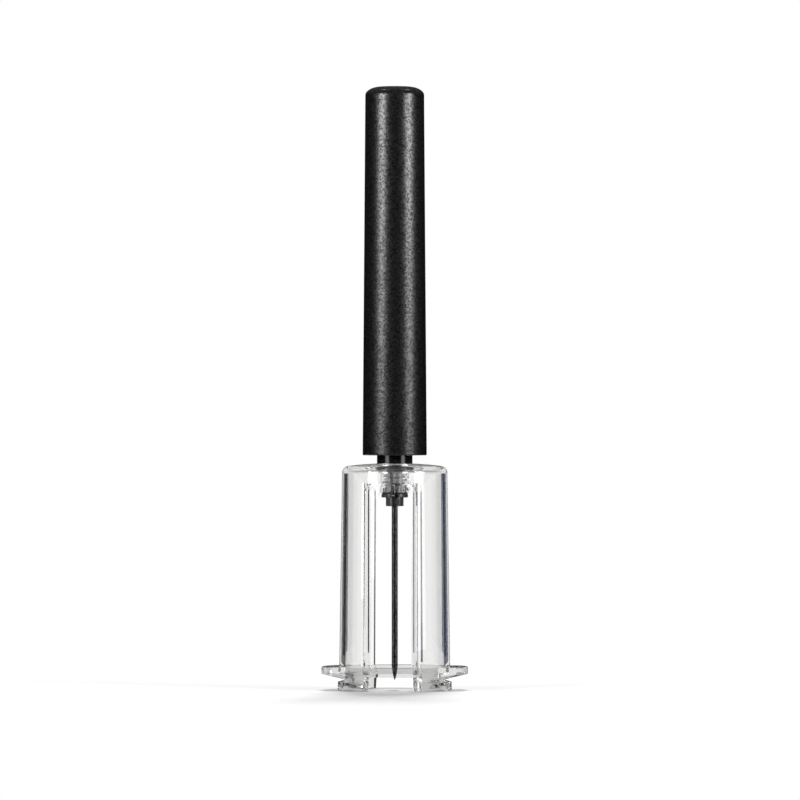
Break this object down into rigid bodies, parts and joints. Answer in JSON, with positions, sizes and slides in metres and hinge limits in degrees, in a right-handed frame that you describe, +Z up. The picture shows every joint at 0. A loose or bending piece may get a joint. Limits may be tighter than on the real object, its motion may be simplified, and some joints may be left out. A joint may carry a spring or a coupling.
{
  "type": "air pump wine opener",
  "caption": "Hand air-pump cork opener: a sliding black pump handle on a barrel, a hollow needle and a clear sleeve that drops over the bottle neck.",
  "frame": {"origin": "middle of the surface that the two feet stand on, on the pump's axis", "axes": "+Z up along the pump's axis towards the handle's cap; +X towards one finger wing; -Y towards the front window"},
  "size_m": [0.0528, 0.0418, 0.2173],
  "materials": {
    "clear_plastic": "polished clear",
    "handle_plastic": "fine sand texture",
    "gloss_black": "gloss",
    "needle_coating": "low-friction coating, satin",
    "steel": "turned",
    "rubber": "matte",
    "bearing_plastic": "moulded"
  },
  "bodies": {
    "barrel_body": {"base_ring": "clear_plastic", "bottle_sleeve": "clear_plastic", "needle": "needle_coating", "needle_ferrule": "steel", "needle_holder": "gloss_black", "holder_gasket": "rubber", "outlet_plug": "gloss_black", "sleeve_gasket": "rubber", "plug_ring": "rubber", "valve_seat": "steel", "valve_spring": "steel", "pump_barrel": "gloss_black", "barrel_gland": "gloss_black", "rod_bush": "bearing_plastic", "guide_ring": "bearing_plastic", "gland_bumper": "rubber"},
    "piston_body": {"piston_rod": "steel", "piston": "gloss_black", "piston_nut": "steel", "rod_washer": "steel", "rod_screw": "steel"},
    "handle_body": {"handle_shell": "handle_plastic", "handle_cap": "handle_plastic", "rod_anchor": "gloss_black", "mouth_bush": "gloss_black"},
    "seal_body": {"piston_seal": "rubber"},
    "valve_body": {"check_ball": "steel"}
  },
  "joints": [
    {"name": "pump_stroke", "type": "slide", "parent": "barrel_body", "child": "piston_body", "axis": [0, 0, 1], "range_m": [0, 0.1]},
    {"name": "handle_spin", "type": "hinge", "parent": "piston_body", "child": "handle_body", "pos_m": [0, 0, 0.21], "axis": [0, 0, 1], "continuous": true},
    {"name": "seal_float", "type": "slide", "parent": "piston_body", "child": "seal_body", "axis": [0, 0, -1], "range_m": [0, 0.0006]},
    {"name": "valve_lift", "type": "slide", "parent": "barrel_body", "child": "valve_body", "axis": [0, 0, -1], "range_m": [0, 0.0006], "stiffness_N_per_m": 20, "springref_m": -0.001, "deforming": ["valve_spring"]}
  ]
}
